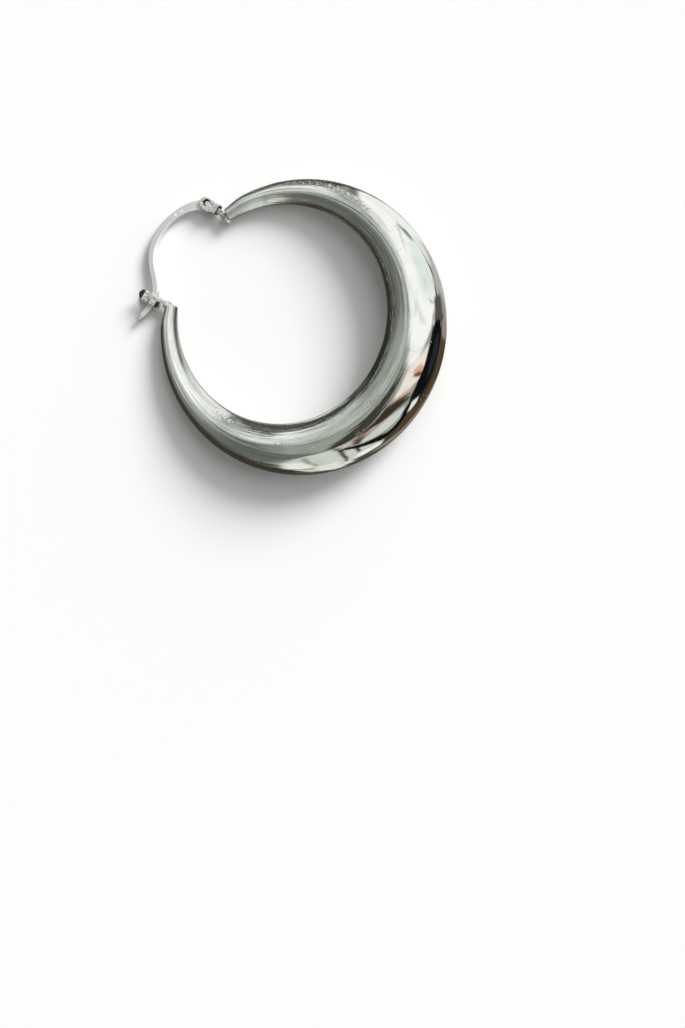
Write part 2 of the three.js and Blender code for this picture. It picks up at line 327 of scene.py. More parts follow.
def outline_distance(x, y, outline):
    """Signed distance to a closed outline, below 0 inside."""
    best = np.full(x.shape, 1e9)
    inside = np.zeros(x.shape, bool)
    for i in range(len(outline)):
        (ax, ay), (bx, by) = outline[i], outline[(i + 1) % len(outline)]
        ex, ey = bx - ax, by - ay
        t = np.clip(((x - ax) * ex + (y - ay) * ey) / (ex * ex + ey * ey), 0, 1)
        best = np.minimum(best, np.hypot(x - ax - t * ex, y - ay - t * ey))
        inside ^= ((ay > y) != (by > y)) & (x < (bx - ax) * (y - ay) / (by - ay if by != ay else 1e-9) + ax)
    return np.where(inside, -best, best)


def bend(a, b, c, count):
    """Points along a quadratic curve from a to c, pulled towards b, without the first."""
    a, b, c = (np.asarray(p, float) for p in (a, b, c))
    s = np.arange(1, count + 1)[:, None] / count
    return [tuple(p) for p in (1 - s) ** 2 * a + 2 * s * (1 - s) * b + s**2 * c]


LUG = (
    [(6.76, 18.72), (7.96, 18.72), (8.16, 18.92), (8.16, 20.72)]
    + bend((8.16, 20.72), (8.10, 21.3), (7.5, 21.46), 8)
    + bend((7.5, 21.46), (6.52, 21.5), (6.42, 20.5), 10)
    + [(6.42, 19.95)]
)
HEAD_X, HEAD_Y = PIVOT_X - 0.06, PIVOT_Y - 0.12  # the rivet was closed a little off its axis


def hinge_fitting(x, y, z):
    dx, dy = x - PIVOT_X, y - PIVOT_Y
    if x.ndim == 3:
        outline = np.broadcast_to(outline_distance(x[:, :, 0], y[:, :, 0], LUG)[:, :, None], x.shape)
    else:
        outline = outline_distance(x, y, LUG)
    lug = prism(outline, z, 0.81, 0.07)
    slot = np.maximum(np.abs(z) - 0.45, 19.52 - y)
    lug = cut(lug, slot, 0.04)
    lug = cut(lug, np.hypot(dx, dy) - 0.40, 0.03)
    # each rivet head is sunk in a round recess
    recess = np.maximum(np.hypot(dx - 0.05, dy - 0.07) - 0.5, 0.69 - np.abs(z))
    lug = cut(lug, recess, 0.03)
    # filing marks and dents of hand work
    lug = lug + 0.012 * lumps(x, y, z, 0.21)
    neck = bar(x, y, z, 7.34, 18.9, 6.80, 16.95, 0.5, 0.9, 0.14)
    # the neck's step, where a first strip was laid against a second one
    step = bar(x, y, z, 7.37, 18.95, 7.26, 18.2, 0.68, 1.04, 0.1)
    bead = ball(x, y, z, 7.24, 17.35, 0, 0.5) + 0.03 * lumps(x, y, z, 0.33)
    foot = ball(x, y, z, 6.74, 16.62, 0.06, 0.33, 1.25) + 0.02 * lumps(x, y, z, 0.25)
    neck = join(join(neck, step, 0.06), join(bead, foot, 0.14), 0.16) + 0.012 * lumps(x, y, z, 0.17)
    # the fillet between neck and lug stays out of the slot
    return solder(join(lug, neck, 0.09), x, y, z, 0.34)


CATCH = np.array((
    (22.26, -0.80), (21.84, -0.74), (21.42, -0.66), (21.0, -0.62), (20.55, -0.68), (20.1, -0.72), (19.7, -0.69),
    (19.36, -0.52), (19.16, -0.26), (19.1, 0), (19.16, 0.26), (19.36, 0.52), (19.7, 0.69), (20.1, 0.72),
    (20.55, 0.68), (21.0, 0.62), (21.3, 0.68), (21.54, 0.84), (21.74, 1.02), (21.88, 1.16),
))


def rounded_path(table, per):
    """A smooth line through the table's points (centripetal Catmull-Rom), with any extra columns carried along."""
    t = np.asarray(table, float)
    ends = np.vstack((2 * t[0] - t[1], t, 2 * t[-1] - t[-2]))
    out = []
    for i in range(1, len(ends) - 2):
        p0, p1, p2, p3 = ends[i - 1:i + 3]
        k1 = math.sqrt(np.linalg.norm((p1 - p0)[:2])) or 1e-6
        k2 = math.sqrt(np.linalg.norm((p2 - p1)[:2])) or 1e-6
        k3 = math.sqrt(np.linalg.norm((p3 - p2)[:2])) or 1e-6
        m1 = ((p1 - p0) / k1 - (p2 - p0) / (k1 + k2) + (p2 - p1) / k2) * k2
        m2 = ((p2 - p1) / k2 - (p3 - p1) / (k2 + k3) + (p3 - p2) / k3) * k2
        for s in np.arange(per) / per:
            out.append((2 * s**3 - 3 * s**2 + 1) * p1 + (s**3 - 2 * s**2 + s) * m1
                       + (-2 * s**3 + 3 * s**2) * p2 + (s**3 - s**2) * m2)
    out.append(t[-1])
    return np.array(out)


def nearest(x, y, path):
    """Distance to a flat path, and how far along it the nearest point is, counted in its points."""
    best = np.full(np.shape(x), 1e9)
    where = np.zeros(np.shape(x))
    for i in range(len(path) - 1):
        (ax, ay), (bx, by) = path[i, :2], path[i + 1, :2]
        ex, ey = bx - ax, by - ay
        t = np.clip(((x - ax) * ex + (y - ay) * ey) / (ex * ex + ey * ey), 0, 1)
        d = np.hypot(x - ax - t * ex, y - ay - t * ey)
        closer = d < best
        best = np.where(closer, d, best)
        where = np.where(closer, i + t, where)
    return best, where


def nearest_flat(x, y, axis, path):
    """nearest(), worked out once for all the layers of a grid along an axis."""
    if x.ndim != 3:
        return nearest(x, y, path)
    found = nearest(np.take(x, 0, axis), np.take(y, 0, axis), path)
    return tuple(np.broadcast_to(np.expand_dims(f, axis), x.shape) for f in found)


CATCH_PATH = rounded_path(CATCH, 4)


def catch_fitting(x, y, z):
    # the lower arm is bent a little to the outside at its mouth
    x = x + 0.40 * ease((y - 20.2) / 1.0) * ease(0.5 - z / 0.5)
    d, where = nearest_flat(y, z, 0, CATCH_PATH)
    end = np.minimum(where, len(CATCH_PATH) - 1 - where) * 0.1
    half_width = 0.60 * np.sqrt(1 - (1 - np.clip((end + 0.05) / 0.5, 0, 1)) ** 2) + 0.09 * ease((end - 0.5) / 0.7)
    across = np.abs(x + 7.72) - half_width
    w, h = d - 0.17 + 0.07, across + 0.07
    strip = np.minimum(np.maximum(w, h), 0) + np.hypot(np.maximum(w, 0), np.maximum(h, 0)) - 0.07
    block = bar(x, y, z, -7.5, 19.04, -7.12, 17.6, 0.9, 1.0, 0.12)
    bead = ball(x, y, z, -7.3, 18.1, 0, 0.6, 0.9) + 0.03 * lumps(x, y, z, 0.3)
    return solder(join(strip, join(block, bead, 0.15), 0.1), x, y, z, 0.34)


WIRE = np.array((
    (7.39, 20.42, 1.46), (6.64, 21.42, 1.4), (5.7, 22.42, 1.22), (4.42, 23.3, 1.06), (2.66, 24.04, 0.98),
    (0.78, 24.36, 0.94), (-1.2, 24.24, 0.92), (-2.8, 23.64, 0.9), (-4.14, 22.62, 0.9), (-5.22, 21.54, 0.92),
    (-6.22, 20.72, 0.94), (-7.3, 20.2, 0.9), (-8.3, 20.04, 0.84), (-9.3, 20.16, 0.8), (-10.2, 20.34, 0.76),
    (-10.9, 20.5, 0.7),
))
WIRE_PATH = rounded_path(WIRE, 10)


def ear_wire(x, y, z):
    d, where = nearest_flat(x, y, 2, WIRE_PATH)
    width = np.interp(where, np.arange(len(WIRE_PATH)), WIRE_PATH[:, 2])
    last = len(WIRE_PATH) - 1
    share = where / last
    taper = 0.72 + 0.28 * ease((1 - share) / 0.05)
    thick = 0.70 + 0.06 * ease((share - 0.06) / 0.08)
    flat = d - width / 2 * taper
    round_eye = np.hypot(x - PIVOT_X, y - PIVOT_Y)
    flat = join(flat, round_eye - 0.74, 0.1)
    wire = prism(flat, z, thick / 2 * (0.6 + 0.4 * taper), 0.15)
    return cut(wire, round_eye - 0.40, 0.04)


def rivet():
    """The hinge rivet, closed over both cheeks, turned about its axis."""
    face, head, wide = 0.70, 0.17, 0.385
    profile = [(0.34, 0.0), (0.34, face - 0.03), (0.345, face), (wide - 0.02, face), (wide - 0.005, face + 0.01),
               (wide, face + 0.04)]
    for k in range(1, 12):
        t = math.pi / 2 * k / 12
        profile.append((wide * math.cos(t) ** 0.8, face + 0.04 + (head - 0.04) * math.sin(t)))
    # the small dent that closing the rivet left in the middle of its head
    profile = [p for p in profile if p[0] > 0.2 or p[1] <= face]
    for r, dz in ((0.17, 0.0), (0.14, -0.012), (0.1, -0.03), (0.05, -0.042)):
        profile.append((r, face + head + dz))
    bottom = [(r, -h) for r, h in profile[1:]][::-1]
    rows = bottom + profile
    sides = 56
    a = 2 * np.pi * np.arange(sides) / sides
    def middle(h):
        share = float(ease((abs(h) - 0.5) / 0.2))
        return PIVOT_X + (HEAD_X - PIVOT_X) * share * 0.8, PIVOT_Y + (HEAD_Y - PIVOT_Y) * share * 0.8

    points = [(middle(h)[0] + r * math.cos(t), middle(h)[1] + r * math.sin(t), h) for r, h in rows for t in a]
    faces = []
    for i in range(len(rows) - 1):
        for j in range(sides):
            k = (j + 1) % sides
            faces.append((i * sides + j, i * sides + k, (i + 1) * sides + k, (i + 1) * sides + j))
    low = len(points)
    points.append((*middle(1), rows[0][1] + 0.002))
    points.append((*middle(1), rows[-1][1] - 0.002))
    for j in range(sides):
        k = (j + 1) % sides
        faces.append((low, k, j))
        faces.append((low + 1, (len(rows) - 1) * sides + j, (len(rows) - 1) * sides + k))
    return mesh_object("hinge_rivet_heads", to_part(np.array(points)), faces)


def fitted(name, distance, low, high, step, marks=None):
    points, faces = skin(distance, low, high, step)
    obj = mesh_object(name, to_part(points), faces.tolist())
    if marks:
        for layer_name, values in marks(*points.T).items():
            attribute = obj.data.attributes.new(layer_name, "FLOAT", "POINT")
            attribute.data.foreach_set("value", np.clip(values, 0, 1).astype(np.float32))
    return obj


def hinge_marks(x, y, z):
    """Where the hinge fitting is painted near-black as shade (round the rivet recess, a band at its back and its outer
    side face), and where the torch left it brownish.
    """
    r = np.hypot(x - PIVOT_X - 0.05, y - PIVOT_Y - 0.07)
    # painted shade: near-black round the rivet recess, along a band at the back and on the outer side face
    painted_shade = ease((0.525 - r) / 0.03) * ease((0.80 - np.abs(z)) / 0.03)
    back = ease((18.86 - y) / 0.08) * ease((0.74 - z) / 0.08) * ease((y - 18.6) / 0.05)
    side = ease((6.60 - x) / 0.08) * ease((0.5 - z) / 0.2) * ease((y - 18.7) / 0.1) * 0.8
    flux = ease((18.70 - y) / 0.1) * ease((y - 16.98) / 0.12)
    return {"painted_shade": np.maximum(np.maximum(painted_shade, back), side), "flux": flux}


def catch_marks(x, y, z):
    """Painted shade and dark reflection on the catch, as near-black: its flared outer lip, a band at the pinch and the
    closed bend.
    """
    # painted shade: the lip's mouth, the pinch band and the closed bend are set near-black
    lip = ease((y - 21.42) / 0.06) * ease((z - 0.35) / 0.2)
    band = 0.93 * np.exp(-(((y - 20.42) / 0.13) ** 2)) * ease((-7.5 - x) / 0.4) * ease((z - 0.3) / 0.2)
    fold = ease((19.50 - y) / 0.1) * ease((y - 18.98) / 0.06) * ease((-7.42 - x) / 0.16)
    return {"painted_shade": np.maximum(np.maximum(lip, band), fold), "flux": 0.0 * x}


def wire_marks(x, y, z):
    """Painted highlights on the ear wire: bright spots on its face near the hinge, and a lighter inner edge."""
    painted_highlight = np.zeros(len(x))
    for cx, cy, size in WIRE_PAINTED_HIGHLIGHTS:
        painted_highlight = np.maximum(painted_highlight, np.exp(-(((x - cx) ** 2 + (y - cy) ** 2) / size**2) ** 2))
    distance, where = nearest(x, y, WIRE_PATH)
    inner = np.hypot(x - 0.8, y - 18.6) < np.hypot(np.interp(where, np.arange(len(WIRE_PATH)), WIRE_PATH[:, 0]) - 0.8,
                                                  np.interp(where, np.arange(len(WIRE_PATH)), WIRE_PATH[:, 1]) - 18.6)
    edge = inner * ease((distance - 0.36) / 0.08) * ease((6.4 - x) / 0.5) * ease((x + 6.6) / 0.5)
    return {"painted_highlight": np.maximum(painted_highlight * ease((z - 0.2) / 0.1), 0.75 * edge)}


# places of the painted highlights on the wire's face: x, y and size
WIRE_PAINTED_HIGHLIGHTS = ((3.81, 23.60, 0.21), (4.70, 23.08, 0.19), (2.2, 23.86, 0.09))

tube = hoop_tube()
hinge = fitted("hinge_lug", hinge_fitting, (5.95, 15.8, -1.15), (8.6, 21.8, 1.15), 0.034, hinge_marks)
catch = fitted("catch_strip", catch_fitting, (-9.2, 16.9, -1.25), (-6.3, 22.8, 1.75), 0.034, catch_marks)
wire = fitted("ear_wire_flat", ear_wire, (-11.6, 19.2, -0.5), (8.4, 25.1, 0.5), 0.048, wire_marks)
heads = rivet()
for piece in (tube, hinge, catch):
    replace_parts(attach(piece, "hoop_body"), "hoop")
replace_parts(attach(heads, "hoop_body"), "hinge_rivet")
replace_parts(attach(wire, "ear_wire_body"), "ear_wire")


# ---- metal --------------------------------------------------------------------------------------------
class Nodes:
    def __init__(self, name):
        self.material = bpy.data.materials.new(name)
        self.material.use_nodes = True
        self.tree = self.material.node_tree
        self.shader = self.tree.nodes["Principled BSDF"]

    def add(self, kind, **settings):
        node = self.tree.nodes.new(kind)
        for key, value in settings.items():
            setattr(node, key, value)
        return node

    def link(self, a, b):
        self.tree.links.new(a, b)

    def stretched(self, source, scale, rotation=(0, 0, 0)):
        mapping = self.add("ShaderNodeMapping")
        mapping.inputs["Scale"].default_value = scale
        mapping.inputs["Rotation"].default_value = rotation
        self.link(source, mapping.inputs["Vector"])
        return mapping.outputs["Vector"]

    def noise(self, vector, scale, detail=2.0, roughness=0.5):
        node = self.add("ShaderNodeTexNoise")
        node.inputs["Scale"].default_value = scale
        node.inputs["Detail"].default_value = detail
        node.inputs["Roughness"].default_value = roughness
        self.link(vector, node.inputs["Vector"])
        return node.outputs["Fac"]

    def span(self, value, low, high, to_low=0.0, to_high=1.0, smooth=True):
        node = self.add("ShaderNodeMapRange")
        node.interpolation_type = "SMOOTHSTEP" if smooth else "LINEAR"
        node.inputs["From Min"].default_value = low
        node.inputs["From Max"].default_value = high
        node.inputs["To Min"].default_value = to_low
        node.inputs["To Max"].default_value = to_high
        self.link(value, node.inputs["Value"])
        return node.outputs["Result"]

    def math(self, operation, a, b):
        node = self.add("ShaderNodeMath", operation=operation)
        for socket, value in zip(node.inputs, (a, b)):
            if isinstance(value, (int, float)):
                socket.default_value = value
            else:
                self.link(value, socket)
        return node.outputs["Value"]

    def mix(self, factor, a, b):
        node = self.add("ShaderNodeMix", data_type="RGBA")
        for socket, value in ((node.inputs["Factor"], factor), (node.inputs[6], a), (node.inputs[7], b)):
            if isinstance(value, (tuple, list)):
                socket.default_value = (*value, 1.0)
            elif isinstance(value, (int, float)):
                socket.default_value = value
            else:
                self.link(value, socket)
        return node.outputs[2]

    def bump(self, height, distance, strength=1.0, after=None):
        node = self.add("ShaderNodeBump")
        node.inputs["Strength"].default_value = strength
        node.inputs["Distance"].default_value = distance
        self.link(height, node.inputs["Height"])
        if after is not None:
            self.link(after, node.inputs["Normal"])
        return node.outputs["Normal"]


def specks(n, vector, scale, size, share):
    """Small round specks: a few cells of a cell pattern hold one, near their point."""
    cells = n.add("ShaderNodeTexVoronoi")
    cells.inputs["Scale"].default_value = scale
    n.link(vector, cells.inputs["Vector"])
    part = n.add("ShaderNodeSeparateColor")
    n.link(cells.outputs["Color"], part.inputs["Color"])
    chosen = n.span(part.outputs["Red"], 1 - share, 1 - share + 0.01)
    near = n.span(cells.outputs["Distance"], size, size * 0.5)
    return n.math("MULTIPLY", chosen, near)


def polished(name, along_uv):
    """Mirror-polished silver with polishing lines along the tube, hairlines, dull worn marks, dust and a painted dark
    reflection along the inner side by the catch.
    """
    n = Nodes(name)
    if along_uv:
        coordinates = n.add("ShaderNodeUVMap", uv_map="along").outputs["UV"]
        wear = n.add("ShaderNodeAttribute", attribute_name="wear").outputs["Fac"]
        lined = n.add("ShaderNodeAttribute", attribute_name="lined").outputs["Fac"]
        haze = n.add("ShaderNodeAttribute", attribute_name="haze").outputs["Fac"]
        fine = n.stretched(coordinates, (0.16, 3.6, 1))
        broad = n.stretched(coordinates, (0.035, 0.9, 1))
        flat = coordinates
    else:
        coordinates = n.stretched(n.add("ShaderNodeTexCoord").outputs["Object"], (1000, 1000, 1000))
        wear = 0.35
        lined = 0.4
        fine = n.stretched(coordinates, (1.2, 5.0, 5.0))
        broad = n.stretched(coordinates, (0.5, 0.8, 0.8))
        flat = coordinates
    lines = n.noise(fine, 1.0, 3.0, 0.6)
    streak = n.noise(broad, 1.0, 2.0, 0.5)
    cloud = n.noise(flat, 0.35, 3.0, 0.55)
    grain = n.noise(flat, 3.4, 3.0, 0.7)
    fleck = n.noise(flat, 2.5, 3.0, 0.75)
    hair = n.noise(n.stretched(flat, (0.35, 9.0, 1.0), (0, 0, 0.85)), 1.0, 1.0, 0.4)
    hair2 = n.noise(n.stretched(flat, (8.0, 0.3, 1.0), (0, 0, 0.4)), 1.0, 1.0, 0.4)
    hairs = n.math("MAXIMUM", n.span(hair, 0.70, 0.76), n.span(hair2, 0.72, 0.78))
    worn = n.math("MULTIPLY", n.span(wear, 0.2, 0.7) if along_uv else 0.3, n.span(grain, 0.48, 0.56))
    glint = n.math("MULTIPLY", n.span(wear, 0.2, 0.7) if along_uv else 0.2, n.span(fleck, 0.55, 0.59))
    dust = n.math("MAXIMUM", specks(n, flat, 1.1, 0.085, 0.10),
                  n.math("MULTIPLY", specks(n, flat, 4.2, 0.26, 0.30), n.span(wear, 0.25, 0.7) if along_uv else 0.2))
    colour = n.mix(n.span(cloud, 0.42, 0.72), (0.965, 0.965, 0.95), (0.87, 0.89, 0.86))
    colour = n.mix(n.math("MULTIPLY", n.span(lines, 0.46, 0.66), n.math("MULTIPLY", lined, 0.5)), colour, (0.62, 0.64, 0.61))
    colour = n.mix(n.math("MULTIPLY", worn, 0.72), colour, (0.26, 0.26, 0.245))
    colour = n.mix(n.math("MULTIPLY", hairs, 0.5), colour, (0.36, 0.37, 0.36))
    if along_uv:
        # painted dark reflection: the inner line by the catch is mixed towards a near-black brown
        colour = n.mix(n.add("ShaderNodeAttribute", attribute_name="painted_dark_reflection").outputs["Fac"], colour, (0.16, 0.155, 0.13))
    colour = n.mix(n.math("MULTIPLY", glint, 0.9), colour, (0.93, 0.93, 0.91))
    colour = n.mix(dust, colour, (0.92, 0.92, 0.9))
    n.link(colour, n.shader.inputs["Base Color"])
    rough = n.math("ADD", n.span(lines, 0.35, 0.75, 0.045, 0.12), n.math("MULTIPLY", worn, 0.22))
    rough = n.math("ADD", rough, n.math("MULTIPLY", dust, 0.5))
    n.link(rough, n.shader.inputs["Roughness"])
    # dust, glints of scuffed metal and the hazy polish scatter part of the light
    dull = n.math("MAXIMUM", n.math("MULTIPLY", dust, 0.9), n.math("MULTIPLY", glint, 0.55))
    if along_uv:
        dull = n.math("MAXIMUM", dull, n.math("MULTIPLY", haze, n.span(lines, 0.36, 0.62, 0.40, 0.16)))
    n.link(n.math("SUBTRACT", 1.0, dull), n.shader.inputs["Metallic"])
    # the lines' heights are largest where the polish still shows them
    tall = n.span(lined, 0.0, 1.0, 0.12, 1.0, smooth=False) if along_uv else 0.5
    normal = n.bump(n.math("MULTIPLY", streak, tall), 0.00016)
    normal = n.bump(n.math("MULTIPLY", lines, tall), 0.000034, 1.0, normal)
    normal = n.bump(worn, 0.000005, 1.0, normal)
    n.link(normal, n.shader.inputs["Normal"])
    return n.material


def worked(name):
    """Hand-worked silver of the soldered fittings: hammered and filed, half bright, with painted near-black shade in
    its recesses and on faces that lie in shade.
    """
    n = Nodes(name)
    coordinates = n.stretched(n.add("ShaderNodeTexCoord").outputs["Object"], (1000, 1000, 1000))
    painted_shade = n.add("ShaderNodeAttribute", attribute_name="painted_shade").outputs["Fac"]
    flux = n.add("ShaderNodeAttribute", attribute_name="flux").outputs["Fac"]
    hammered = n.noise(coordinates, 2.3, 2.0, 0.55)
    grain = n.noise(coordinates, 7.0, 2.0, 0.6)
    cloud = n.noise(coordinates, 1.4, 2.0, 0.5)
    colour = n.mix(n.span(cloud, 0.40, 0.66), (0.965, 0.965, 0.95), (0.72, 0.76, 0.72))
    colour = n.mix(n.math("MULTIPLY", n.span(grain, 0.54, 0.66), 0.6), colour, (0.30, 0.30, 0.28))
    colour = n.mix(n.math("MULTIPLY", flux, n.span(hammered, 0.3, 0.6, 0.6, 0.92)), colour, (0.30, 0.285, 0.24))
    # painted shade: near-black with less metal where the fitting's painted-shade marks are set
    colour = n.mix(n.math("MULTIPLY", painted_shade, 0.985), colour, (0.008, 0.008, 0.008))
    n.link(colour, n.shader.inputs["Base Color"])
    n.link(n.math("ADD", n.span(grain, 0.3, 0.7, 0.22, 0.36), n.math("MULTIPLY", flux, 0.2)), n.shader.inputs["Roughness"])
    shiny = n.math("SUBTRACT", 0.72, n.math("MULTIPLY", flux, 0.3))
    n.link(n.math("MULTIPLY", shiny, n.math("SUBTRACT", 1.0, n.math("MULTIPLY", painted_shade, 0.7))), n.shader.inputs["Metallic"])
    normal = n.bump(hammered, 0.00013, 1.0)
    n.link(n.bump(grain, 0.00001, 1.0, normal), n.shader.inputs["Normal"])
    return n.material


def satin(name):
    """Drawn silver wire: satin, with fine lines, faint green-grey tarnish, a few specks and painted highlights."""
    n = Nodes(name)
    coordinates = n.stretched(n.add("ShaderNodeTexCoord").outputs["Object"], (1000, 1000, 1000))
    grain = n.noise(coordinates, 6.0, 3.0, 0.6)
    cloud = n.noise(coordinates, 0.7, 2.0, 0.5)
    dust = specks(n, coordinates, 2.6, 0.2, 0.14)
    painted_highlight = n.add("ShaderNodeAttribute", attribute_name="painted_highlight").outputs["Fac"]
    colour = n.mix(n.span(cloud, 0.35, 0.7), (0.84, 0.86, 0.835), (0.75, 0.81, 0.76))
    # painted highlights: near-white spots and inner edge on the wire's face
    colour = n.mix(painted_highlight, colour, (0.98, 0.98, 0.97))
    colour = n.mix(n.math("MULTIPLY", n.span(grain, 0.5, 0.8), 0.15), colour, (0.65, 0.68, 0.65))
    colour = n.mix(n.math("MULTIPLY", dust, 0.7), colour, (0.9, 0.9, 0.88))
    n.link(colour, n.shader.inputs["Base Color"])
    n.link(n.span(grain, 0.3, 0.7, 0.30, 0.42), n.shader.inputs["Roughness"])
    # its matt skin scatters part of the light, and more where the highlights are painted
    n.link(n.math("MULTIPLY", n.span(cloud, 0.3, 0.7, 0.62, 0.50), n.span(painted_highlight, 0.0, 1.0, 1.0, 0.2)), n.shader.inputs["Metallic"])
    n.link(n.bump(grain, 0.0000015, 1.0), n.shader.inputs["Normal"])
    return n.material


tube.data.materials.append(polished("silver_tube", True))
fittings = worked("silver_fittings")
for piece in (hinge, catch, heads):
    piece.data.materials.append(fittings)
wire.data.materials.append(satin("silver_wire"))


